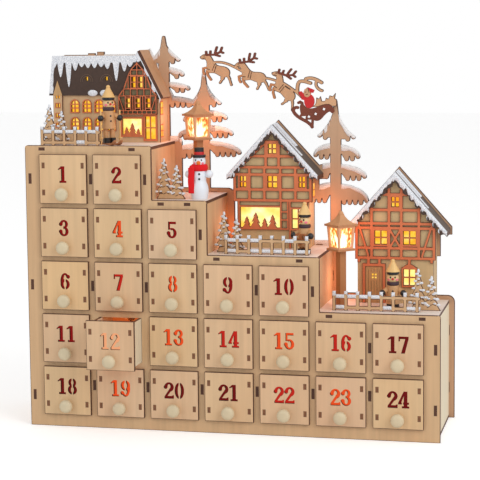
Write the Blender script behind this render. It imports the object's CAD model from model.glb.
"""Looks of a lit wooden advent calendar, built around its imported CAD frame.

Metres, in the frame of the CAD: the origin is the middle of the base, +X right, +Y back and +Z up.
"""

import bmesh
import bpy
import math
from mathutils import Matrix, Vector, noise
from mathutils.bvhtree import BVHTree


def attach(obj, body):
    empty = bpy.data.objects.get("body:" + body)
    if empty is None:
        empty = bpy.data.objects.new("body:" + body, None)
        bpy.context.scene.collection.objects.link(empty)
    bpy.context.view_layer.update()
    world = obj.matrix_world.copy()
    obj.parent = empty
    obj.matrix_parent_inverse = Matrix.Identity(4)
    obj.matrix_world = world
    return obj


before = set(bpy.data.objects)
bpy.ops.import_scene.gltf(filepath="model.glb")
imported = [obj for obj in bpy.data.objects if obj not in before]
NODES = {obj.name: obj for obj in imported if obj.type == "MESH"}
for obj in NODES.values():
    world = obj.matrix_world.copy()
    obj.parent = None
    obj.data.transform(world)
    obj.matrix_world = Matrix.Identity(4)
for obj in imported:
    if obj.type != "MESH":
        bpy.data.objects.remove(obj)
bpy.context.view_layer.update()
MM = 0.001

# Places that the looks share with the solids, in millimetres
COLUMN_PITCH, ROW_PITCH, FIRST_ROW = 54.0, 51.8, 36.0  # drawers, and the middle of their lowest row
DECK_TOPS = (273.45, 221.65, 169.85, 118.05)
HOUSE_FRONT = 22.0  # front of the house walls
TIMBER_FRONT = 20.0  # front of the layers on them
# Long house: middle and floor, then half width, ridge, eave and half width at the eave
LONG_X, LONG_Z = -142.0, DECK_TOPS[0]
LONG_HALF, LONG_RIDGE, LONG_EAVE, LONG_EAVE_END = 55.3, 86.4, 47.0, 59.5
PEAK_X, PEAK_Z = 33.5, 90.6
BAY_EAVE = (57.2, 43.5)
# Gabled houses: middle, floor, height of the apex, half span of the roof and its fall
SHOP_X, SHOP_Z, COTTAGE_X, COTTAGE_Z = 27.5, DECK_TOPS[2], 148.7, DECK_TOPS[3]
SHOP = (SHOP_X, SHOP_Z, 122.0, 45.5, 49.7)
COTTAGE = (COTTAGE_X, COTTAGE_Z, 128.3, 50.5, 57.4)
# Tall firs: middle, lowest snow and tip
FIRS = {"left": (-90.0, 281.0, 379.2), "middle": (-48.7, 231.0, 342.7), "right": (85.3, 150.0, 314.7)}


def on_long(x, z):
    """Place on the long house, in X and Z from its middle and floor."""
    return LONG_X + x, LONG_Z + z


def turned(degrees):
    """Turn about the vertical."""
    return Matrix.Rotation(math.radians(degrees), 3, "Z")


def add_object(name, data):
    obj = bpy.data.objects.new(name, data)
    bpy.context.scene.collection.objects.link(obj)
    return obj


def linear(red, green, blue):
    """Scene colour of an sRGB colour given from 0 to 255."""
    parts = [c / 255 for c in (red, green, blue)]
    return [c / 12.92 if c <= 0.04045 else ((c + 0.055) / 1.055) ** 2.4 for c in parts] + [1.0]


# Materials

def set_inputs(node, **inputs):
    for name, value in inputs.items():
        node.inputs[name.replace("_", " ")].default_value = value


def new_material(name, colour, rough=0.6):
    material = bpy.data.materials.new(name)
    material.use_nodes = True
    set_inputs(material.node_tree.nodes["Principled BSDF"], Base_Color=colour, Roughness=rough)
    return material


def tree_of(material):
    tree = material.node_tree
    return tree, tree.nodes["Principled BSDF"]


def add_node(tree, kind, **inputs):
    node = tree.nodes.new(kind)
    set_inputs(node, **inputs)
    return node


def object_place(tree):
    """The object's own coordinates."""
    return tree.nodes.new("ShaderNodeTexCoord").outputs["Object"]


def math_node(tree, kind, operation, source, value):
    """Node that works on a source and a fixed value."""
    node = tree.nodes.new(kind)
    node.operation = operation
    node.inputs[1].default_value = value
    tree.links.new(source, node.inputs[0])
    return node


def noise_of_place(tree, scale, detail, stretch=(1, 1, 1)):
    """Noise fixed to the object's own coordinates."""
    mapping = add_node(tree, "ShaderNodeMapping", Scale=[scale * s for s in stretch])
    texture = add_node(tree, "ShaderNodeTexNoise", Scale=1.0, Detail=detail)
    tree.links.new(object_place(tree), mapping.inputs["Vector"])
    tree.links.new(mapping.outputs["Vector"], texture.inputs["Vector"])
    return texture.outputs["Fac"]


def ramp_between(tree, factor, stops):
    """Colours at places along a factor."""
    ramp = tree.nodes.new("ShaderNodeValToRGB")
    elements = ramp.color_ramp.elements
    while len(elements) < len(stops):
        elements.new(0.5)
    for element, (place, colour) in zip(elements, stops):
        element.position = place
        element.color = colour
    tree.links.new(factor, ramp.inputs["Fac"])
    return ramp.outputs["Color"]


def multiply_colours(tree, first, second):
    mix = tree.nodes.new("ShaderNodeMix")
    mix.data_type = "RGBA"
    mix.blend_type = "MULTIPLY"
    set_inputs(mix, Factor=1.0)
    tree.links.new(first, mix.inputs[6])
    tree.links.new(second, mix.inputs[7])
    return mix.outputs[2]


def add_bump(tree, shader, height, strength, distance):
    bump = add_node(tree, "ShaderNodeBump", Strength=strength, Distance=distance)
    tree.links.new(height, bump.inputs["Height"])
    tree.links.new(bump.outputs["Normal"], shader.inputs["Normal"])


def shade(colour, factor):
    return [c * factor for c in colour[:3]] + [1.0]


PATCH_SCALE, PATCH_STRETCH, WARM_PATCH = 16.0, (1, 1, 0.45), (0.97, 0.90, 0.86, 1)
GRAIN_DEPTH, GRAIN_STRENGTH = 0.0003, 0.12


def wood(name, colour, spread=0.10, grain=(220, 220, 9), rough=0.62, tints=()):
    """Sawn wood of an sRGB colour with streaks and warmer patches, and a tint for each cell of the drawers' grid."""
    colour = linear(*colour)
    material = new_material(name, colour, rough)
    tree, shader = tree_of(material)
    streaks = noise_of_place(tree, 1.0, 4.0, grain)
    base = ramp_between(tree, streaks, ((0.25, shade(colour, 1 - spread)), (0.75, shade(colour, 1 + spread * 0.6))))
    patches = noise_of_place(tree, PATCH_SCALE, 2.0, PATCH_STRETCH)
    result = multiply_colours(tree, base, ramp_between(tree, patches, ((0.35, (1, 1, 1, 1)), (0.75, WARM_PATCH))))
    if tints:
        corner = (COLUMN_PITCH * 4.5 * MM, 0.5, (ROW_PITCH / 2 - FIRST_ROW) * MM)
        cell = (COLUMN_PITCH * MM, 1.0, ROW_PITCH * MM)
        shifted = math_node(tree, "ShaderNodeVectorMath", "ADD", object_place(tree), corner)
        snapped = math_node(tree, "ShaderNodeVectorMath", "SNAP", shifted.outputs["Vector"], cell)
        pick = tree.nodes.new("ShaderNodeTexWhiteNoise")
        tree.links.new(snapped.outputs["Vector"], pick.inputs["Vector"])
        steps = [((k + 0.5) / len(tints), tint) for k, tint in enumerate(tints)]
        result = multiply_colours(tree, result, ramp_between(tree, pick.outputs["Value"], steps))
    tree.links.new(result, shader.inputs["Base Color"])
    add_bump(tree, shader, streaks, GRAIN_STRENGTH, GRAIN_DEPTH)
    return material


HOT_NEAR, HOT_FAR, HOT_GAIN = 0.002, 0.009, 0.40  # reach of a hot spot, in metres, and what it adds


def glowing(name, stops, scale, strength, stretch=(1, 1, 1), hot=None):
    """Lit film whose colour wanders between the stops, with a hot spot at a place in millimetres."""
    material = new_material(name, (0.05, 0.02, 0.005, 1), 0.5)
    tree, shader = tree_of(material)
    factor = noise_of_place(tree, scale, 2.0, stretch)
    if hot:
        gap = math_node(tree, "ShaderNodeVectorMath", "DISTANCE", object_place(tree), [c * MM for c in hot])
        near = add_node(tree, "ShaderNodeMapRange", From_Min=HOT_NEAR, From_Max=HOT_FAR, To_Min=HOT_GAIN, To_Max=0.0)
        total = tree.nodes.new("ShaderNodeMath")
        tree.links.new(gap.outputs["Value"], near.inputs["Value"])
        tree.links.new(near.outputs["Result"], total.inputs[0])
        tree.links.new(factor, total.inputs[1])
        factor = total.outputs[0]
    tree.links.new(ramp_between(tree, factor, stops), shader.inputs["Emission Color"])
    set_inputs(shader, Emission_Strength=strength)
    return material


def glitter_snow(name, low, high):
    """Sprinkled snow, whose specks lie between two colours."""
    material = new_material(name, linear(*high), 0.55)
    tree, shader = tree_of(material)
    specks = noise_of_place(tree, 1900.0, 1.0)
    colour = ramp_between(tree, specks, ((0.34, linear(*low)), (0.62, linear(*high))))
    tree.links.new(colour, shader.inputs["Base Color"])
    add_bump(tree, shader, specks, 0.6, 0.0004)
    return material


def roof_wood(name):
    """Dark stained board with rows of engraved tiles along it."""
    material = new_material(name, linear(78, 60, 50), 0.7)
    tree, shader = tree_of(material)
    wave = add_node(tree, "ShaderNodeTexWave", Scale=62.0, Distortion=0.6, Detail=1.0)
    wave.bands_direction = "Y"
    tree.links.new(object_place(tree), wave.inputs["Vector"])
    rows = ramp_between(tree, wave.outputs["Fac"], ((0.2, linear(58, 44, 36)), (0.8, linear(98, 80, 66))))
    tree.links.new(rows, shader.inputs["Base Color"])
    add_bump(tree, shader, wave.outputs["Fac"], 0.3, 0.0005)
    return material


PLY = wood("birch_ply", (212, 176, 134))
DRAWER_PLY = wood("drawer_ply", (221, 188, 148), 0.09,
                  tints=((1, 1, 0.94, 1), (0.98, 0.95, 0.96, 1), (1.0, 0.99, 1.04, 1), (0.98, 0.92, 0.97, 1),
                         (1.04, 1.01, 0.90, 1)))
PANEL_PLY = wood("wall_ply", (203, 174, 128), 0.08)
SIDE_PLY = wood("side_ply", (229, 217, 190), 0.08)
TREE_PLY = wood("tree_ply", (194, 156, 124), 0.10)
LANTERN_ROOF = wood("lantern_roof", (204, 148, 102), 0.12)
LANTERN_POST = wood("lantern_post", (184, 122, 74), 0.14)
CHARRED = wood("sawn_edge", (86, 50, 30), 0.35, (300, 300, 300))
PALE_EDGE = wood("tab_end", (126, 82, 52), 0.4, (420, 420, 420))
KNOB_WOOD = wood("knob_wood", (214, 199, 166), 0.08, (90, 90, 90), 0.5)
TURNED = wood("turned_wood", (230, 188, 122), 0.14, (150, 150, 30), 0.42)
COAT_WOOD = wood("coat_wood", (206, 158, 108), 0.14, (150, 150, 30), 0.45)
RED_TIMBER = wood("red_timber", (211, 116, 72), 0.12, (260, 260, 30), 0.6)
TIMBER_EDGE = wood("timber_edge", (92, 46, 28), 0.25, (300, 300, 300))
DOOR_WOOD = wood("door_wood", (196, 150, 98), 0.16, (420, 420, 12))
DARK_ROOF = wood("dark_roof", (70, 52, 43), 0.16, (260, 260, 260), 0.75)
TILED_ROOF = roof_wood("tiled_roof")
DECK_GLAZE = wood("deck_glaze", (240, 228, 218), 0.05, (120, 12, 120), 0.55)
DEER_PLY = wood("deer_ply", (206, 160, 120), 0.10)
LEG_STAIN = wood("leg_stain", (190, 128, 84), 0.15)
SLEIGH_STAIN = wood("sleigh_stain", (116, 54, 32), 0.2, (260, 260, 60), 0.6)
ANTLER_STAIN = wood("antler_stain", (112, 50, 28), 0.2, (260, 260, 260), 0.6)
BAY_BOARD = wood("bay_board", (190, 142, 102), 0.12)
DORMER_LINE = wood("dormer_line", (98, 76, 60), 0.15)
BAY_SHEET = wood("bay_sheet", (126, 112, 80), 0.12)
TURRET_ROOF = wood("turret_roof", (200, 160, 110), 0.15)
SNOW = glitter_snow("glitter_snow", (188, 194, 205), (250, 251, 254))
TREE_SNOW = glitter_snow("tree_snow", (200, 193, 190), (250, 247, 245))
SKI_STAIN = wood("ski_stain", (172, 116, 74), 0.15)
WHITE_PAINT = new_material("white_paint", linear(230, 236, 244), 0.42)
BLACK_PAINT = new_material("black_paint", linear(24, 22, 24), 0.35)
RED_PAINT = new_material("red_paint", linear(200, 26, 30), 0.45)
PINK_PAINT = new_material("pink_paint", linear(240, 120, 140), 0.6)
ORANGE_PAINT = new_material("orange_paint", linear(240, 120, 30), 0.5)
SKIN = wood("face_wood", (232, 196, 142), 0.06, (120, 120, 40), 0.45)
SCARF_STAIN = new_material("scarf_stain", linear(62, 38, 46), 0.6)
PRETZEL_STAIN = wood("pretzel_stain", (176, 104, 56), 0.2, (300, 300, 300), 0.5)
BLACK_PLASTIC = new_material("black_plastic", linear(34, 34, 36), 0.45)
CELL_JACKET = new_material("cell_jacket", linear(120, 124, 130), 0.35)
LAMP_LENS = glowing("lamp_lens", ((0.3, (1, 0.7, 0.3, 1)), (0.7, (1, 0.85, 0.5, 1))), 200.0, 2.0)
AMBER = glowing("amber_film", ((0.3, linear(255, 158, 26)), (0.5, linear(255, 190, 40)),
                               (0.7, linear(255, 214, 110))), 130.0, 1.15)
LOW_LIGHT = glowing("bright_film", ((0.3, linear(255, 190, 50)), (0.55, linear(255, 226, 130)),
                                    (0.75, linear(255, 246, 210))), 70.0, 1.3)
LANTERNS = {"tall": (-45.5, 14.0, 288.0), "short": (100.4, -8.0, 184.0)}  # middle of each cage


def lantern_light(label):
    """Etched liner of a lantern, brightest in front of its lamp."""
    x, y, z = LANTERNS[label]
    stops = ((0.38, linear(188, 78, 24)), (0.46, linear(246, 146, 54)), (0.56, linear(255, 214, 130)),
             (0.70, (1.1, 1.0, 0.8, 1)))
    return glowing(f"{label}_lantern_film", stops, 420.0, 1.45, (1, 1, 0.5), (x + 2.5, y - 8, z - 2))


FELT = new_material("red_felt", linear(224, 22, 30), 0.95)
FELT_TREE, FELT_SHADER = tree_of(FELT)
add_bump(FELT_TREE, FELT_SHADER, noise_of_place(FELT_TREE, 2600.0, 2.0), 0.5, 0.0005)


def lit_wood(name, colour, strength):
    """Wood of an sRGB colour with the light of a lamp close behind it."""
    material = wood(name, colour, 0.06)
    set_inputs(tree_of(material)[1], Emission_Color=linear(236, 112, 44), Emission_Strength=strength)
    return material


LIT_PLY = lit_wood("lit_ply", (226, 158, 106), 0.22)
LANTERN_PLY = lit_wood("lantern_ply", (222, 168, 126), 0.10)

# Films behind the numbers, from hardly lit to bright
NUMBER_FILMS = {
    "dark": (linear(104, 16, 16), (17, 18, 20, 21, 24)),
    "deep": (linear(132, 20, 20), (1, 2, 3, 5, 6, 9, 10, 11)),
    "mid": (linear(186, 36, 26), (7, 14, 16, 22)),
    "bright": (linear(228, 78, 32), (4, 8, 13, 15, 19, 23)),
    "open": (linear(238, 164, 118), (12,)),
}


def number_films():
    """Film of each number."""
    films = {}
    for level, (colour, numbers) in NUMBER_FILMS.items():
        material = new_material(f"number_film_{level}", (0.02, 0.002, 0.002, 1), 0.5)
        set_inputs(tree_of(material)[1], Specular_IOR_Level=0.1, Emission_Color=colour, Emission_Strength=1.0)
        films.update(dict.fromkeys(numbers, material))
    return films


# Painting the solids of a CAD node

def solids(mesh):
    """Polygons of each solid: a solid ends in the list where every edge has met its twin."""
    places = {}
    ids = [places.setdefault(tuple(round(c, 6) for c in v.co), len(places)) for v in mesh.vertices]
    groups, balance, group = [], {}, []
    for polygon in mesh.polygons:
        group.append(polygon.index)
        corners = [ids[i] for i in polygon.vertices]
        for a, b in zip(corners, corners[1:] + corners[:1]):
            if a == b:
                continue
            pair = (min(a, b), max(a, b))
            balance[pair] = balance.get(pair, 0) + (1 if a < b else -1)
            if balance[pair] == 0:
                del balance[pair]
        if not balance:
            groups.append(group)
            group = []
    return groups


HALF_SPACE = Vector((0.02, 1.0, 0.11))  # tells a face's two directions apart


def board_normal(mesh, polygons):
    """Direction that most of a board's surface faces."""
    areas = {}
    for index in polygons:
        polygon = mesh.polygons[index]
        normal = polygon.normal
        if normal.dot(HALF_SPACE) < 0:
            normal = -normal
        key = tuple(round(c, 1) for c in normal)
        areas[key] = areas.get(key, 0) + polygon.area
    return Vector(max(areas, key=areas.get)).normalized()


def paint(node, *looks):
    """Gives each solid its look: one material, or a face and an edge material for a sawn board."""
    mesh = NODES[node].data
    mesh.materials.clear()

    def index_of(material):
        if mesh.materials.find(material.name) < 0:
            mesh.materials.append(material)
        return mesh.materials.find(material.name)

    for k, polygons in enumerate(solids(mesh)):
        look = looks[min(k, len(looks) - 1)]
        if not isinstance(look, tuple):
            for index in polygons:
                mesh.polygons[index].material_index = index_of(look)
            continue
        facing = board_normal(mesh, polygons)
        for index in polygons:
            polygon = mesh.polygons[index]
            flat = abs(polygon.normal.dot(facing)) > 0.8
            polygon.material_index = index_of(look[0] if flat else look[1])


OPEN_DRAWER = 12
BOARD_LOOK = (PLY, CHARRED)
TIMBER_LOOK = (RED_TIMBER, TIMBER_EDGE)


def paint_cabinet():
    drawer, side = (DRAWER_PLY, CHARRED), (SIDE_PLY, PALE_EDGE)
    for number, film in sorted(number_films().items()):
        inner = LIT_PLY if number == OPEN_DRAWER else drawer
        paint(f"drawer_{number:02d}", drawer, side, side, inner, inner, KNOB_WOOD, film)
    for node in ("front_panel", "left_side_panel", "column_dividers", "drawer_shelves", "bottom_panel"):
        paint(node, BOARD_LOOK)
    paint("right_side_panel", (SIDE_PLY, CHARRED))
    paint("back_panel", (TREE_PLY, CHARRED))
    for k in range(1, 5):
        paint(f"step_deck_{k}", (DECK_GLAZE, CHARRED))
    for node in ("battery_box", "battery_cover", "power_switch"):
        paint(node, BLACK_PLASTIC)
    paint("batteries", CELL_JACKET)
    paint("led_lamps", LAMP_LENS)


def paint_village():
    tiles = (TILED_ROOF, CHARRED)
    for house in ("shop", "cottage"):
        paint(f"{house}_walls", (PANEL_PLY, CHARRED))
        paint(f"{house}_roof", tiles, tiles, (DARK_ROOF, CHARRED))
    paint("long_house_walls", BOARD_LOOK)
    paint("long_house_timber", TIMBER_LOOK, (PLY, TIMBER_EDGE), TIMBER_LOOK)
    paint("shop_timber", TIMBER_LOOK)
    paint("cottage_timber", TIMBER_LOOK, (DOOR_WOOD, CHARRED))
    paint("long_house_roof", (DARK_ROOF, CHARRED), BOARD_LOOK, (BAY_BOARD, CHARRED))
    paint("window_films", AMBER)
    paint("lantern_panes", lantern_light("tall"), lantern_light("short"))
    for node in ("tall_lantern", "short_lantern"):
        paint(node, LANTERN_POST, (TREE_PLY, LEG_STAIN), LANTERN_PLY, (LANTERN_ROOF, LEG_STAIN), LANTERN_ROOF)
    paint("fences", BOARD_LOOK)
    paint("fir_pairs", BOARD_LOOK)
    deer = (DEER_PLY, CHARRED)
    paint("sleigh_team", deer, deer, SLEIGH_STAIN, RED_PAINT)
    head = (SCARF_STAIN, SKIN, BLACK_PAINT, TURNED)
    hands = (COAT_WOOD, BLACK_PAINT)
    paint("skier_figure", SKI_STAIN, SKI_STAIN, BLACK_PAINT, BLACK_PAINT, COAT_WOOD, COAT_WOOD, COAT_WOOD, *head,
          *hands, TURNED, *hands, TURNED)
    paint("pretzel_figure", BLACK_PAINT, BLACK_PAINT, COAT_WOOD, COAT_WOOD, COAT_WOOD, *head, *hands, *hands,
          PRETZEL_STAIN)
    paint("walker_figure", BLACK_PAINT, BLACK_PAINT, COAT_WOOD, *head, *hands, *hands)
    paint("snowman", WHITE_PAINT, BLACK_PAINT, WHITE_PAINT, WHITE_PAINT, FELT, ORANGE_PAINT)


# New pieces

LIFTS, STRIP_LIFT, RIM_LIFT = 12, 0.012, 0.004


class Shapes:
    """Points in millimetres and faces of the closed forms of one piece."""

    def __init__(self):
        self.points = []
        self.faces = []
        self.strips = 0

    def slab(self, outline, front, back):
        """Upright sheet between two depths, from its outline in X and Z."""
        self.skin([[(x, depth, z) for x, z in outline] for depth in (front, back)], closed=False)

    def next_lift(self, step):
        """Hair's breadth that differs from strip to strip, so that overlapping faces never share a plane."""
        self.strips = (self.strips + 1) % LIFTS
        return step * self.strips

    def strip(self, points, width, front, back):
        """Upright strip with rounded ends and joints along a line of points in X and Z."""
        for (x0, z0), (x1, z1) in zip(points, points[1:]):
            along = math.atan2(z1 - z0, x1 - x0)
            outline = []
            for x, z, start in ((x1, z1, along - math.pi / 2), (x0, z0, along + math.pi / 2)):
                for k in range(7):
                    angle = start + math.pi * k / 6
                    outline.append((x + width / 2 * math.cos(angle), z + width / 2 * math.sin(angle)))
            self.slab(outline, front - self.next_lift(STRIP_LIFT), back)

    def panel(self, x0, z0, x1, z1, front, back):
        """Upright rectangle between two depths."""
        self.slab([(x0, z0), (x1, z0), (x1, z1), (x0, z1)], front, back)

    def ball(self, centre, radii, turn=0.0, rings=8, around=14):
        """Ellipsoid whose axes are turned about the vertical."""
        spin = Matrix.Rotation(turn, 3, "Z")

        def place(ring, step):
            a, b = math.pi * ring / rings, 2 * math.pi * step / around
            local = Vector((radii[0] * math.sin(a) * math.cos(b), radii[1] * math.sin(a) * math.sin(b),
                            radii[2] * math.cos(a)))
            return Vector(centre) + spin @ local

        first = len(self.points)
        rows = [[place(ring, step) for step in range(around)] for ring in range(1, rings)]
        self.skin(rows, closed=False, capped=False)
        top = len(self.points)
        self.points += [place(0, 0), place(rings, 0)]
        for row, pole in ((first, top), (top - around, top + 1)):
            self.faces += [[row + step, row + (step + 1) % around, pole] for step in range(around)]

    def dab(self, centre, radii):
        """Small ball of few faces."""
        self.ball(centre, radii, rings=6, around=10)

    def skin(self, rows, closed=True, capped=True):
        """Tube through rows of points, closed to its first row, capped or open."""
        start, count = len(self.points), len(rows[0])
        for row in rows:
            self.points += row
        for k in range(len(rows) if closed else len(rows) - 1):
            low, high = start + k * count, start + (k + 1) % len(rows) * count
            for i in range(count):
                n = (i + 1) % count
                self.faces.append([low + i, high + i, high + n, low + n])
        if capped and not closed:
            self.faces.append(list(range(start, start + count)))
            self.faces.append(list(range(len(self.points) - count, len(self.points))))

    def ring(self, centre, profile, around=48):
        """Closed profile of radius and height, turned about the vertical."""
        x, y, z = centre
        turns = [2 * math.pi * k / around for k in range(around)]
        self.skin([[(x + r * math.cos(a), y + r * math.sin(a), z + up) for r, up in profile] for a in turns])

    def make(self, name, material, slot, smooth=False, body="cabinet"):
        """Mesh that rides on a body."""
        mesh = bpy.data.meshes.new(name)
        mesh.from_pydata([Vector(p) * MM for p in self.points], [], self.faces)
        work = bmesh.new()
        work.from_mesh(mesh)
        bmesh.ops.recalc_face_normals(work, faces=work.faces)
        work.to_mesh(mesh)
        work.free()
        mesh.materials.append(material)
        for polygon in mesh.polygons:
            polygon.use_smooth = smooth
        obj = add_object(name, mesh)
        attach(obj, body)


def wander(x, z, pace):
    """Smooth chance value from 0 to 1 that belongs to a place."""
    return 0.5 + 0.5 * noise.noise(Vector((x / pace, 3.7, z / pace)))


def upward_edges(mesh, polygons, keep, finest):
    """Front edges of a sheet's upward sides, in millimetres, cut into short steps."""
    edges = []
    for index in polygons:
        polygon = mesh.polygons[index]
        if polygon.normal.z < 0.28 or abs(polygon.normal.y) > 0.3:
            continue
        corners = [mesh.vertices[i].co / MM for i in polygon.vertices]
        nearest = min(c.y for c in corners)
        front = [c for c in corners if c.y < nearest + 0.01]
        if len(front) != 2 or not keep(*((front[0] + front[1]) / 2)):
            continue
        deep = max(c.y for c in corners)
        parts = max(1, math.ceil((front[1] - front[0]).length / finest))
        steps = [front[0].lerp(front[1], k / parts) for k in range(parts + 1)]
        edges += [(a, b, nearest, deep) for a, b in zip(steps, steps[1:])]
    return edges


def snow_caps(name, node, solid, depth, keep=lambda x, y, z: True, lift=0.45, pace=5.0, share=0.7, finest=1.2,
              snow=SNOW):
    """Snow that lies along the kept upper edges of a sawn sheet and hangs a little over its front."""
    mesh = NODES[node].data
    polygons = solids(mesh)[solid]
    tree = BVHTree.FromPolygons([v.co / MM for v in mesh.vertices],
                                [tuple(mesh.polygons[i].vertices) for i in polygons])
    caps, rows, uses = Shapes(), {}, {}

    def section(place, front, deep, inward):
        key = (round(place.x, 2), round(place.z, 2), round(front, 1))
        if key not in rows:
            probe = Vector((place.x + inward * 0.05, (front + deep) / 2, place.z - 0.08))
            hit = tree.ray_cast(probe, Vector((0, 0, -1)))
            room = (hit[3] or 0.0) if hit[0] else depth
            hang = min(depth * (0.35 + 1.1 * wander(place.x, place.z, pace)), room * share)
            rows[key] = len(caps.points)
            x, z = place.x, place.z
            caps.points += [(x, front + 0.02, z - hang), (x, front - lift * 0.7, z - hang + 0.15),
                            (x, front - lift, z - hang * 0.4), (x, front - lift * 0.6, z + lift * 0.8),
                            (x, front + 0.3, z + lift), (x, deep, z + lift * 0.8), (x, deep, z - 0.02),
                            (x, front + 0.02, z - 0.02)]
        uses[key] = uses.get(key, 0) + 1
        return rows[key]

    count = 8
    for a, b, front, deep in upward_edges(mesh, polygons, keep, finest):
        toward = 1 if b.x > a.x else -1
        first, last = section(a, front, deep, toward), section(b, front, deep, -toward)
        for k in range(count):
            n = (k + 1) % count
            caps.faces.append([first + k, first + n, last + n, last + k])
    for key, start in rows.items():
        if uses[key] == 1:
            caps.faces.append(list(range(start, start + count)))
    caps.make(name, snow, "white_paint", smooth=True)


def burnt_outline(name, node, chosen, width, burnt=CHARRED, slot="plywood", body="cabinet", shortest=0.05):
    """Thin scorched rim that the saw beam left along the longer edges of upright sheets."""
    mesh = NODES[node].data
    rim = Shapes()
    for solid, polygons in enumerate(solids(mesh)):
        if solid not in chosen:
            continue
        edges = {}
        for index in polygons:
            polygon = mesh.polygons[index]
            if polygon.normal.y > -0.95:
                continue
            corners = [mesh.vertices[i].co / MM for i in polygon.vertices]
            middle = sum(corners, Vector()) / len(corners)
            for a, b in zip(corners, corners[1:] + corners[:1]):
                key = tuple(sorted(tuple(round(c, 3) for c in p) for p in (a, b)))
                edges.setdefault(key, []).append((a, b, middle))
        for uses in edges.values():
            a, b, middle = uses[0]
            along = (b - a).normalized()
            inward = Vector((-along.z, 0, along.x))
            if len(uses) > 1 or (b - a).length < shortest:
                continue
            if inward.dot(middle - a) < 0:
                inward = -inward
            corners = (a, b, b + inward * width, a + inward * width)
            rim.slab([(p.x, p.z) for p in corners], a.y - 0.02 - rim.next_lift(RIM_LIFT), a.y)
    rim.make(name, burnt, slot, body=body)


OUTER_EDGE = 44.5  # outer edges of the panel and the drawer faces are longer, other edges shorter


def burnt_outlines():
    burnt_outline("front_panel_outline", "front_panel", (0,), 0.45, shortest=OUTER_EDGE)
    for number in range(1, 25):
        drawer = f"drawer_{number:02d}"
        burnt_outline(f"{drawer}_outline", drawer, (0,), 0.4, slot="drawer_wood", body=drawer, shortest=OUTER_EDGE)
    for house, chosen in (("long_house", (0, 1)), ("shop", (0,)), ("cottage", (0,))):
        burnt_outline(f"{house}_timber_outline", f"{house}_timber", chosen, 0.28, TIMBER_EDGE, "red_timber")
    burnt_outline("back_panel_outline", "back_panel", (0,), 0.55)
    burnt_outline("sleigh_team_outline", "sleigh_team", (0, 1), 0.5)
    burnt_outline("small_fir_outlines", "fir_pairs", range(4), 0.5)
    burnt_outline("fence_outlines", "fences", range(3), 0.4)


GABLE_REACHES = ((50.0, SHOP), (54.0, COTTAGE))  # half width of each house's back
GABLE_EDGE = 7.0  # height within which an edge belongs to that back
FIR_TIP, FIR_TRUNK, FIR_REACH = 13.0, 3.4, 52.0  # bare tip, half trunk and longest bough of a tall fir


def on_gable(x, z):
    """True along the sawn top of a house's back."""
    return any(abs(x - house_x) < reach and abs(z - (floor + apex - abs(x - house_x) * drop / span)) < GABLE_EDGE
               for reach, (house_x, floor, apex, span, drop) in GABLE_REACHES)


def tree_snow():
    """Snow on the boughs of the tall firs, not on the backs of the houses beside them."""
    for label, (fir_x, low, top) in FIRS.items():
        def keep(x, y, z):
            return low < z < top - FIR_TIP and FIR_TRUNK < abs(x - fir_x) < FIR_REACH and not on_gable(x, z)

        snow_caps(f"snow_{label}_fir", "back_panel", 0, 5.0, keep, pace=9.0, share=0.75, snow=TREE_SNOW)


def barge_snow():
    for house in ("shop", "cottage"):
        snow_caps(f"snow_{house}_barge", f"{house}_roof", 2, 6.6, pace=2.6, share=0.88, finest=0.8)


FENCE_DECKS = (DECK_TOPS[0], DECK_TOPS[2], DECK_TOPS[3])
PICKET_TOP = 18.0


def fence_snow():
    """Snow on every picket, and in lengths along the rails."""
    for k, floor in enumerate(FENCE_DECKS):
        snow_caps(f"snow_fence_{k + 1}", "fences", k, 3.8,
                  lambda x, y, z: z > floor + PICKET_TOP - 1 or wander(x, z, 9.0) > 0.5, pace=3.4, share=0.9, lift=0.6)


# Small firs: left, front and deck of each pair, then middle and height of its two firs
FIR_PAIRS = ((-190.4, -12.0, DECK_TOPS[0]), (-70.8, -22.0, DECK_TOPS[1]), (-13.2, -15.0, DECK_TOPS[2]),
             (175.6, -15.0, DECK_TOPS[3]))
SMALL_FIRS = ((0.0, 39.0), (12.6, 32.5))
FIR_ROWS = ((0.14, 3), (0.30, 3), (0.45, 2), (0.60, 1), (0.74, 1))  # share of the height, marks across
FIR_TIERS, FIR_FOOT, FIR_SPREAD = 5, 4.5, 0.23
TOP_DAB, TIP_DAB, FACE_DAB = (1.3, 1.0, 2.4), (1.9, 0.9, 1.15), (1.5, 0.45, 0.9)
STROKE_HALF, STROKE_LEAN = 1.1, 0.55
LINE_WIDTH = 0.6  # of burnt and engraved lines


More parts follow.
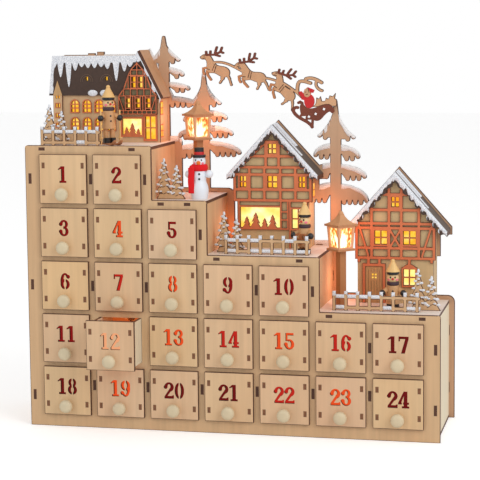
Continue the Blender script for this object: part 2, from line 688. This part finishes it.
def small_fir_marks():
    """Snow on the tops, the tips and the faces of the small firs, with short burnt strokes between."""
    dabs, strokes = Shapes(), Shapes()
    for x, y, floor in FIR_PAIRS:
        for middle, height in SMALL_FIRS:
            fall = (height - FIR_FOOT) / FIR_TIERS
            dabs.dab((x + middle, y + 0.4, floor + height - 1.6), TOP_DAB)
            for k in range(FIR_TIERS):
                reach = FIR_SPREAD * height * (k + 1.4) / (FIR_TIERS + 0.4)
                for side, lag in ((1, 1.0), (-1, 0.75)):
                    size = 0.8 + 0.6 * wander(x + 7 * side, height * k, 2.1)
                    dabs.dab((x + middle + side * (reach - 1.1), y + 0.2, floor + height - fall * (k + lag) + 1.0),
                             (TIP_DAB[0] * size, TIP_DAB[1], TIP_DAB[2] * size))
            for share, across in FIR_ROWS:
                half = 0.17 * height * (1 - share)
                for k in range(across):
                    side = (k + 0.5) / across * 2 - 1
                    px = x + middle + half * side + 2.0 * (wander(x + 9 * k, height * share, 2.3) - 0.5)
                    pz = floor + height * share + 3.6 * (wander(x - 5 * k, height + 40 * share, 1.9) - 0.5)
                    lean = STROKE_LEAN if side > 0 else -STROKE_LEAN
                    ends = [(px - STROKE_HALF, pz + lean), (px + STROKE_HALF, pz - lean)]
                    strokes.strip(ends, LINE_WIDTH, y - 0.15, y)
                    if (k + across) % 2:
                        dabs.dab((px, y - 0.1, pz + 1.4), FACE_DAB)
    strokes.make("small_fir_strokes", CHARRED, "plywood")
    dabs.make("small_fir_dabs", SNOW, "white_paint", smooth=True)


# Icicles: place from the house's middle and length
ICICLES = ((-53.7, 12), (-46.7, 21), (-38.2, 31), (-31.2, 14.5), (-24.3, 11), (-17.8, 12), (-10.9, 12), (-3.9, 11),
           (2.5, 13), (11.6, 25), (20.1, 15.5), (26.0, 11))
ICICLE_GAP = 7.2  # snow between the icicles
ICICLE_WIDTH = 3.1
ROOF_SNOW = 0.8  # thickness
RIDGE_STEPS, VERGE_STEPS, SLOPE_STEPS = 170, 39, 59
EAVE_DABS = ((-13.5, 5.2), (-1.5, 4.4))  # place and half width


def long_roof_snow():
    """Snow along the long house's ridge with icicles, on its left verge, its eave and the bay's slope."""
    front, back = TIMBER_FRONT - ROOF_SNOW, TIMBER_FRONT
    left, right = -LONG_HALF, PEAK_X - 1
    lower = []
    for k in range(RIDGE_STEPS + 1):
        x = left + (right - left) * k / RIDGE_STEPS
        hang = ICICLE_GAP - 1.2 * wander(x, 0, 6)
        for at, depth in ICICLES:
            hang = max(hang, ICICLE_GAP + (depth - ICICLE_GAP) * (1 - abs((x - at) / ICICLE_WIDTH) ** 1.7))
        lower.append(on_long(x, LONG_RIDGE - hang))
    ridge = LONG_RIDGE + 0.3
    snow = Shapes()
    snow.slab([on_long(right + 1.4, PEAK_Z), on_long(right - 1, ridge), on_long(left, ridge)] + lower, front, back)
    verge = []
    for k in range(VERGE_STEPS + 1):
        down = (LONG_RIDGE - LONG_EAVE - 2) * k / VERGE_STEPS
        verge.append((left - (LONG_EAVE_END - LONG_HALF) * down / (LONG_RIDGE - LONG_EAVE), down))
    inner = [(x + 2.0 + 3.2 * wander(x, down, 5), down) for x, down in verge]
    snow.slab([on_long(x, LONG_RIDGE - down) for x, down in verge + inner[::-1]], front - 0.02, back)
    outer, under = [], []
    for k in range(SLOPE_STEPS + 1):
        share = k / SLOPE_STEPS
        x, z = PEAK_X + (BAY_EAVE[0] - PEAK_X) * share, PEAK_Z + (BAY_EAVE[1] - PEAK_Z) * share
        width = 1.0 + 5.0 * max(0.0, math.sin(k * 0.33)) ** 0.8
        outer.append(on_long(x, z))
        under.append(on_long(x - width * 0.35, z - width))
    snow.slab(outer + under[::-1], front - 0.02, back)
    snow.make("snow_long_roof", SNOW, "white_paint")
    dabs = Shapes()
    for at, wide in EAVE_DABS:
        x, z = on_long(at, LONG_EAVE + 2.4)
        dabs.ball((x, TIMBER_FRONT - 0.2, z), (wide, 0.9, 3.2))
    dabs.make("snow_eave_dabs", SNOW, "white_paint", smooth=True)


SLOPE_BANDS = ((3, 9, 0.62), (12, 24, 0.45))  # near and far side, and share of the slope


def roof_slope_snow():
    """Bands of snow along the upper part of the two gabled roofs' right slopes."""
    snow = Shapes()
    for house_x, floor, apex, span, drop in (SHOP, COTTAGE):
        top, tilt = floor + apex, math.atan2(drop, span)
        for near, far, share in SLOPE_BANDS:
            x, z = house_x + span * share, top - drop * share
            upper = (x + 0.5 * math.sin(tilt), z + 0.5 * math.cos(tilt))
            snow.slab([(house_x, top), (x, z), upper, (house_x, top + 0.7)], HOUSE_FRONT + near, HOUSE_FRONT + far)
    snow.make("snow_roof_slopes", SNOW, "white_paint")


# Small lights and trim on the houses

TURRET_LIGHTS = (17, 27, 37, 46)
TURRET_HALF, TURRET_TOP = 4.8, 62.0
TURRET_X = LONG_X - LONG_HALF + TURRET_HALF
DORMERS, DORMER_FOOT, DORMER_RADII = (-19.6, 1.0), 61.0, (6.4, 4.6)
# Pane in the door and lit openings nearest the lamps, as the left, lower, right and upper edges
DOOR_LIGHT = (COTTAGE_X - 22.95, COTTAGE_Z + 24.1, COTTAGE_X - 18.35, COTTAGE_Z + 28.7)
DISPLAYS = ((SHOP_X - 32.8, SHOP_Z + 20.3, SHOP_X + 7.4, SHOP_Z + 40.5),
            (SHOP_X + 19.5, SHOP_Z + 20, SHOP_X + 32, SHOP_Z + 39),
            (LONG_X + 16.6, LONG_Z + 7.6, LONG_X + 36.6, LONG_Z + 23.7),
            (COTTAGE_X + 8.2, COTTAGE_Z + 18, COTTAGE_X + 19.5, COTTAGE_Z + 33.8))
# Sheet seen between the bars of the bay's lattice, beside its windows
BAY_CELLS = ((14.1, 28.6, 52.7, 32), (14.1, 32, 20.3, 46.6), (27.1, 32, 30.4, 46.6), (37.2, 32, 41, 46.6),
             (47.8, 32, 52.7, 46.6), (19.4, 46.6, 47.4, 53.6), (24.2, 53.6, 26.3, 67), (40.3, 53.6, 42.6, 67),
             (27, 67, 39.8, 72.4))
BAY_MIDDLE = 33.4
BAY_STEPS = ((46.6, 19.3), (53.6, 14.0), (67.0, 9.2), (72.4, 6.4))  # upper rail and half width of each row
# Windows in the houses' right walls, as the near, lower, far and upper edges
SIDE_RIM, SIDE_BAR = 1.2, 0.5
SIDE_WINDOWS = {"long_house": (LONG_Z, (26, 28.5, 33, 40), (26, 6, 33, 17)), "shop": (SHOP_Z, (26, 51.5, 33, 64))}


def side_windows():
    lights, borders = Shapes(), Shapes()
    for house, (floor, *windows) in SIDE_WINDOWS.items():
        wall = max(v.co.x for v in NODES[f"{house}_walls"].data.vertices) / MM
        for near, low, far, high in windows:
            low, high = floor + low, floor + high
            middle, across = (near + far) / 2, (low + high) / 2
            borders.panel(wall, low - SIDE_RIM, wall + 0.15, high + SIDE_RIM, near - SIDE_RIM, far + SIDE_RIM)
            lights.panel(wall + 0.05, low, wall + 0.3, high, near, far)
            borders.panel(wall, low, wall + 0.45, high, middle - SIDE_BAR, middle + SIDE_BAR)
            borders.panel(wall, across - SIDE_BAR, wall + 0.43, across + SIDE_BAR, near, far)
    borders.make("side_window_borders", RED_TIMBER, "red_timber")
    lights.make("side_window_lights", AMBER, "amber_film")


def house_lights():
    lights, displays = Shapes(), Shapes()
    back = HOUSE_FRONT - 0.02
    for z in TURRET_LIGHTS:
        for x in (TURRET_X - 1.3, TURRET_X + 1.3):
            lights.panel(x - 0.7, LONG_Z + z - 1.8, x + 0.7, LONG_Z + z + 1.8, HOUSE_FRONT - 0.5, back)
    lights.panel(*DOOR_LIGHT, HOUSE_FRONT - 0.3, back)
    lights.make("turret_and_door_lights", AMBER, "amber_film")
    for opening in DISPLAYS:
        displays.panel(*opening, HOUSE_FRONT + 2.6, HOUSE_FRONT + 2.95)
    displays.make("display_lights", LOW_LIGHT, "amber_film")


def long_house_trim():
    """Turret roof and slit borders, engraved dormer arches, the bay's slopes and the sheet behind its lattice."""
    sheet = TIMBER_FRONT
    roof, borders, arches, cells, slopes = (Shapes() for _ in range(5))
    eave = LONG_Z + LONG_EAVE
    roof.slab([(TURRET_X - TURRET_HALF, eave), (TURRET_X + TURRET_HALF, eave), (TURRET_X, LONG_Z + TURRET_TOP)],
              sheet - 0.4, sheet)
    roof.make("turret_roof", TURRET_ROOF, "dark_roof")
    left, right = TURRET_X - 2.5, TURRET_X + 2.5
    for z in TURRET_LIGHTS[:3]:
        low, high = LONG_Z + z - 2.3, LONG_Z + z + 2.3
        for line in (((left, low), (right, low), (right, high), (left, high), (left, low)),
                     ((TURRET_X, low), (TURRET_X, high))):
            borders.strip(line, LINE_WIDTH, sheet - 0.3, sheet)
    borders.make("turret_slit_borders", RED_TIMBER, "red_timber")
    turns = [math.pi * k / 12 for k in range(13)]
    for x in DORMERS:
        for radius in DORMER_RADII:
            arc = [on_long(x + radius * math.cos(a), DORMER_FOOT + 1.1 * radius * math.sin(a)) for a in turns]
            arches.strip(arc, LINE_WIDTH, sheet - 0.2, sheet)
    arches.make("dormer_arches", DORMER_LINE, "dark_roof")
    for x0, z0, x1, z1 in BAY_CELLS:
        cells.panel(*on_long(x0, z0), *on_long(x1, z1), sheet - 0.2, sheet)
    for (z0, half0), (z1, half1) in zip(BAY_STEPS, BAY_STEPS[1:]):
        for side in (-1, 1):
            foot, top = on_long(BAY_MIDDLE + side * half0, z0), on_long(BAY_MIDDLE + side * half1, z1)
            cells.slab([foot, (top[0], foot[1]), top], sheet - 0.2, sheet)
            slopes.strip([foot, top], 1.1, sheet - 1.0, sheet)
    cells.make("bay_sheet", BAY_SHEET, "dark_roof")
    slopes.make("bay_slopes", RED_TIMBER, "red_timber")


# Engraved and stained details of the sleigh team

TEAM_X, TEAM_Z, TEAM_FRONT = -48.7, 342.65, 48.0
DEER = ((8.7, 3.0, 0), (45.2, -4.3, 7), (77.2, -16, -20))  # place and tilt
ANTLERS = (((-5, 14.2), (3.6, 14.2), (8.6, 12.8)), ((3.6, 14.2), (4.6, 18.2), (5.8, 21.6)),
           ((3.6, 14.2), (9.4, 17), (11, 21.2)), ((9.4, 17), (12.2, 16)), ((-5, 14.2), (-5.3, 17.2)),
           ((-1.2, 14.2), (-0.8, 17.6)))
FORELEGS = (((-5.4, 1.2), (-8.2, 0.6), (-8.2, -3), (-7.2, -5)), ((-4.4, -2.8), (-3.6, -6.4), (-0.6, -10.6)))
HARNESS = (((3.6, 4.8), (1.2, -1.4)), ((5.2, 3), (3.2, -2.8)), ((-4.4, 0.2), (-1.6, -0.4)), ((-8.6, 10.6), (-6, 11)))
DEER_EYES, DEER_NOSES = (((-7.2, 13.1), (-6.8, 13.2)),), (((-11, 12.1), (-10.7, 12.2)),)
DRIVER_FACE = ((102.8, -21.5), (103.3, -18.2), (105, -16.6), (107, -16), (108.2, -18.6), (109.6, -20.9), (109.2, -23.6),
               (106.8, -25.3), (104, -24.6))
DRIVER_LINES = (((107.2, -16.4), (108.2, -20.4)), ((104.4, -20.2), (104.9, -20.2)), ((105, -22.8), (106.8, -22.2)))


def sleigh_details():
    antlers, forelegs, lines, face = (Shapes() for _ in range(4))
    front = TEAM_FRONT - 0.25
    marks = ((antlers, ANTLERS, 2.2), (forelegs, FORELEGS, 2.4), (lines, HARNESS, LINE_WIDTH), (lines, DEER_EYES, 1.0),
             (lines, DEER_NOSES, 1.1))
    for x, z, tilt in DEER:
        turn = math.radians(tilt)
        for shapes, parts, width in marks:
            for part in parts:
                placed = [(TEAM_X + x + px * math.cos(turn) - pz * math.sin(turn),
                           TEAM_Z + z + px * math.sin(turn) + pz * math.cos(turn)) for px, pz in part]
                shapes.strip(placed, width, front, TEAM_FRONT)
    face.slab([(TEAM_X + px, TEAM_Z + pz) for px, pz in DRIVER_FACE], front, TEAM_FRONT)
    for line in DRIVER_LINES:
        lines.strip([(TEAM_X + px, TEAM_Z + pz) for px, pz in line], 0.55, front - 0.2, front)
    antlers.make("antlers", ANTLER_STAIN, "plywood")
    forelegs.make("forelegs", LEG_STAIN, "plywood")
    lines.make("engraved_lines", CHARRED, "plywood")
    face.make("driver_face", DEER_PLY, "plywood")


# Figures

# Place, floor, height of the legs and turn in degrees
FIGURES = {
    "skier": (-131.0, -6.0, DECK_TOPS[0] + 1.6, 14.0, 38),
    "pretzel": (66.3, -14.0, DECK_TOPS[2], 7.5, -24),
    "walker": (150.5, -8.0, DECK_TOPS[3], 5.0, 6),
}
HEAD_RADIUS = 5.5
COAT_HEIGHT, SCARF_HEIGHT, FACE_HEIGHT = 17.5, 3.6, 6.8
COAT_HEM, COAT_NECK = 7.0, 5.3
# Bearing from the nose in degrees, height above the middle of the face and radii
EYE, CHEEK = (24, 1.1, (0.85, 0.35, 1.05)), (48, -1.2, (1.6, 0.22, 1.2))
NOSE, BUTTON, BUTTON_DROPS = (1.15, 1.0, 1.15), (0.9, 0.5, 0.9), (5.0, 10.0)


def figure_details(label, x, y, floor, legs, turn):
    """Eyes, nose, cheeks and buttons of one turned figure."""
    angle, spin = math.radians(turn), turned(turn)
    neck = floor + legs + COAT_HEIGHT
    head = neck + SCARF_HEIGHT + FACE_HEIGHT / 2

    def on_head(side, up, proud=0.0):
        ring = math.sqrt(HEAD_RADIUS ** 2 - up ** 2) + proud
        local = Vector((ring * math.sin(math.radians(side)), -ring * math.cos(math.radians(side)), 0))
        return Vector((x, y, head + up)) + spin @ local

    black, red, pink = Shapes(), Shapes(), Shapes()
    for side in (-1, 1):
        for shapes, (bearing, up, radii) in ((black, EYE), (pink, CHEEK)):
            shapes.ball(on_head(bearing * side, up), radii, angle + math.radians(bearing * side))
    red.ball(on_head(0, -0.4, 0.4), NOSE, angle)
    for down in BUTTON_DROPS if label != "pretzel" else ():
        radius = COAT_NECK + (COAT_HEM - COAT_NECK) * down / COAT_HEIGHT
        local = spin @ Vector((0, -radius, 0))
        black.ball((x + local.x, y + local.y, neck - down), BUTTON, angle)
    black.make(f"{label}_eyes_and_buttons", BLACK_PAINT, "black_plastic", smooth=True)
    pink.make(f"{label}_cheeks", PINK_PAINT, "turned_wood", smooth=True)
    red.make(f"{label}_nose", RED_PAINT, "turned_wood", smooth=True)


SKI_SIDES, SKI_START, SKI_END, SKI_RISE = (-3.4, 3.4), -14.5, -26.0, 4.5


def ski_tips():
    """Upturned front ends of the skier's skis."""
    x, y, *_, turn = FIGURES["skier"]
    spin = turned(turn)
    floor = Vector((x, y, DECK_TOPS[0]))
    tips = Shapes()
    for side in SKI_SIDES:
        rows = []
        for k in range(11):
            out = k / 10
            half, thick = 2.05 - 0.9 * out ** 3, 1.66 - 0.4 * out
            along, up = SKI_START + (SKI_END - SKI_START) * out, SKI_RISE * out ** 2 - 0.02
            rows.append([floor + spin @ Vector((side + px, along, up + pz))
                         for px, pz in ((-half, 0), (half, 0), (half, thick), (-half, thick))])
        tips.skin(rows, closed=False)
    tips.make("ski_tips", SKI_STAIN, "turned_wood")


SNOWMAN = (-37.0, -16.0, DECK_TOPS[1], 8)  # place, floor and turn in degrees
# Hat: height of its seat, then radii and heights of the profiles of its band and brim
HAT_SEAT = 40.5
HAT_BAND = ((4.65, 2.5), (4.85, 2.5), (4.85, 5.4), (4.65, 5.4))
HAT_BRIM = ((4.6, -0.1), (6.3, -0.1), (6.6, 0.4), (6.6, 1.9), (6.2, 2.5), (4.6, 2.5))
SCARF_RING = (27.8, 5.6, 8.0)  # lower edge, height and radius
TAIL_WIDTH, TAIL_THICK, TAIL_LENGTH, TAIL_X, TAIL_Y = 5.0, 1.7, 24.5, -7.2, -6.7


def snowman_details():
    x, y, floor, turn = SNOWMAN
    angle, spin = math.radians(turn), turned(turn)

    def place(side, reach, up):
        return Vector((x, y, floor + up)) + spin @ Vector((side, -reach, 0))

    black, pink, nose, band, brim = (Shapes() for _ in range(5))
    for side in (-1, 1):
        black.ball(place(side * 2.5, 5.2, 38.0), (1.0, 0.5, 1.15), angle)
        pink.ball(place(side * 3.9, 4.7, 34.9), (1.4, 0.4, 1.2), angle + side * 0.6)
    for up in (24.6, 19.8):
        black.ball(place(0.6, 6.8, up), (1.1, 0.6, 1.1), angle)
    nose.ball(place(0, 6.6, 35.5), (2.1, 2.0, 2.0), angle)
    nose.make("snowman_nose_root", ORANGE_PAINT, "white_paint", smooth=True)
    black.make("snowman_eyes_and_buttons", BLACK_PAINT, "black_plastic", smooth=True)
    pink.make("snowman_cheeks", PINK_PAINT, "white_paint", smooth=True)
    seat = (x, y, floor + HAT_SEAT)
    band.ring(seat, HAT_BAND)
    band.make("snowman_hat_band", RED_PAINT, "white_paint")
    brim.ring(seat, HAT_BRIM)
    brim.make("snowman_hat_brim", BLACK_PAINT, "black_plastic")


TAIL_STEPS, FUZZ, FUZZ_SEED = 26, 0.14, 5


def squarish(value):
    """Sine or cosine drawn out towards a square."""
    return math.copysign(abs(value) ** 0.5, value)


def snowman_scarf():
    """Felt over the scarf's plain solid: a rolled ring, and a tail that waves a little."""
    x, y, floor, turn = SNOWMAN
    spin = turned(turn)
    low, height, radius = SCARF_RING
    middle = low + height / 2
    felt = Shapes()
    turns = [2 * math.pi * k / 16 for k in range(16)]
    felt.ring((x, y, floor + middle), [(radius - 1.7 + 2.2 * math.cos(a), 3.3 * math.sin(a)) for a in turns])
    rows = []
    for k in range(TAIL_STEPS + 1):
        down = k / TAIL_STEPS
        row = []
        for a in turns:
            wide, thick = squarish(math.cos(a)) * (TAIL_WIDTH / 2 + 0.5), squarish(math.sin(a)) * (TAIL_THICK / 2 + 0.4)
            local = Vector((TAIL_X + 0.25 * math.sin(9 * down) + wide, TAIL_Y + thick, middle - TAIL_LENGTH * down))
            row.append(Vector((x, y, floor)) + spin @ local)
        rows.append(row)
    felt.skin(rows, closed=False)
    noise.seed_set(FUZZ_SEED)
    felt.points = [Vector(p) + FUZZ * noise.noise_vector(Vector(p) * 0.9) for p in felt.points]
    felt.make("snowman_scarf_felt", FELT, "white_paint", smooth=True)


def lantern_finials():
    """Turned knob on the tip of each lantern's roof."""
    knobs = Shapes()
    for label, (x, y, _) in LANTERNS.items():
        tip = max(v.co.z for v in NODES[f"{label}_lantern"].data.vertices) / MM
        knobs.ball((x, y, tip - 2.4), (2.6, 2.6, 2.9))
    knobs.make("lantern_finials", LANTERN_ROOF, "plywood", smooth=True)


# Stage, light and camera

# Colour of the lamps' light in the village and in the open drawer, then radius, places and powers of the first
SPILL, INSIDE = (1.0, 0.34, 0.14), (1.0, 0.5, 0.22)
SPILL_RADIUS = 22.0
SPILL_LIGHTS = {
    "long_house": ((-84, 30, 296), 0.028), "tall_lantern": ((-40, 32, 292), 0.034),
    "first_riser": ((-58, 12, 254), 0.014), "shop_left": ((-16, 34, 186), 0.036),
    "shop_right": ((76, 34, 208), 0.028), "short_lantern": ((104, 2, 192), 0.030),
    "cottage_left": ((94, 30, 140), 0.027),
}


def warm_light(label, place, power, radius=SPILL_RADIUS, colour=SPILL):
    data = bpy.data.lights.new(f"glow_{label}", "POINT")
    data.energy = power
    data.color = colour
    data.shadow_soft_size = radius * MM
    add_object(f"glow_{label}", data).location = Vector(place) * MM


def village_glow():
    """Warm light that spills from the lamps onto trunks, risers and decks."""
    for label, (place, power) in SPILL_LIGHTS.items():
        warm_light(label, place, power)
    warm_light("open_drawer", (-108, -44, 98), 0.002, 6.0, INSIDE)
    warm_light("behind_drawer", (-108, 12, 100), 0.012, 4.0, INSIDE)


AREA_SIZE = 1.2
# Studio lamps: place and target in metres, and power in watts
STUDIO_LAMPS = {"key": ((1.5, -1.1, 1.2), (0, 0, 0.15), 15), "fill": ((-0.9, -1.5, 1.3), (0, 0, 0.2), 4)}
FLOOR_HALF, FLOOR_GREY, FLOOR_LIFT = 6.0, 0.93, 0.32
WHITE = (1, 1, 1, 1)
SOFT_LIGHT, SEEN_LIGHT = 0.66, 1.0  # the world as light, and as the camera and gloss see it


def studio_lamps():
    for name, (place, target, power) in STUDIO_LAMPS.items():
        data = bpy.data.lights.new(name, "AREA")
        data.size = AREA_SIZE
        data.energy = power
        obj = add_object(name, data)
        obj.location = place
        obj.rotation_euler = (Vector(target) - Vector(place)).to_track_quat("-Z", "Y").to_euler()


def pale_floor():
    mesh = bpy.data.meshes.new("floor")
    half = FLOOR_HALF
    mesh.from_pydata([(-half, -half, 0), (half, -half, 0), (half, half, 0), (-half, half, 0)], [], [(0, 1, 2, 3)])
    pale = new_material("pale_floor", (FLOOR_GREY, FLOOR_GREY, FLOOR_GREY, 1), 0.9)
    tree, shader = tree_of(pale)
    seen = tree.nodes.new("ShaderNodeLightPath").outputs["Is Camera Ray"]
    lift = math_node(tree, "ShaderNodeMath", "MULTIPLY", seen, FLOOR_LIFT)
    tree.links.new(lift.outputs[0], shader.inputs["Emission Strength"])
    set_inputs(shader, Emission_Color=WHITE)
    mesh.materials.append(pale)
    floor = add_object("floor", mesh)


def studio_world():
    world = bpy.data.worlds.new("studio")
    world.use_nodes = True
    tree = world.node_tree
    tree.nodes.clear()
    soft = add_node(tree, "ShaderNodeBackground", Color=WHITE, Strength=SOFT_LIGHT)
    seen = add_node(tree, "ShaderNodeBackground", Color=WHITE, Strength=SEEN_LIGHT)
    path = tree.nodes.new("ShaderNodeLightPath")
    either = tree.nodes.new("ShaderNodeMath")
    either.operation = "MAXIMUM"
    mix = tree.nodes.new("ShaderNodeMixShader")
    out = tree.nodes.new("ShaderNodeOutputWorld")
    tree.links.new(path.outputs["Is Camera Ray"], either.inputs[0])
    tree.links.new(path.outputs["Is Glossy Ray"], either.inputs[1])
    tree.links.new(either.outputs[0], mix.inputs["Fac"])
    tree.links.new(soft.outputs[0], mix.inputs[1])
    tree.links.new(seen.outputs[0], mix.inputs[2])
    tree.links.new(mix.outputs[0], out.inputs["Surface"])
    bpy.context.scene.world = world


CAMERA_ANGLES = (13.094, 6.212, -0.578)  # azimuth, elevation and roll in degrees
CAMERA_PLACE = (0.3638, -1.5564, 0.3833)
CAMERA_LENS = 123.6
CAMERA_SHIFT = (-0.005, -0.062)


def photo_camera():
    azimuth, elevation, roll = (math.radians(v) for v in CAMERA_ANGLES)
    data = bpy.data.cameras.new("camera")
    data.sensor_width = 36.0
    data.lens = CAMERA_LENS
    data.shift_x, data.shift_y = CAMERA_SHIFT
    camera = add_object("camera", data)
    turn = Matrix.Rotation(azimuth, 4, "Z") @ Matrix.Rotation(math.pi / 2 - elevation, 4, "X")
    camera.matrix_world = Matrix.Translation(CAMERA_PLACE) @ turn @ Matrix.Rotation(roll, 4, "Z")
    bpy.context.scene.camera = camera


paint_cabinet()
paint_village()
burnt_outlines()
tree_snow()
barge_snow()
fence_snow()
small_fir_marks()
long_roof_snow()
roof_slope_snow()
house_lights()
side_windows()
long_house_trim()
sleigh_details()
for label, details in FIGURES.items():
    figure_details(label, *details)
ski_tips()
snowman_details()
snowman_scarf()
lantern_finials()
village_glow()
pale_floor()
studio_world()
studio_lamps()
photo_camera()
bpy.context.scene.view_settings.view_transform = "Standard"
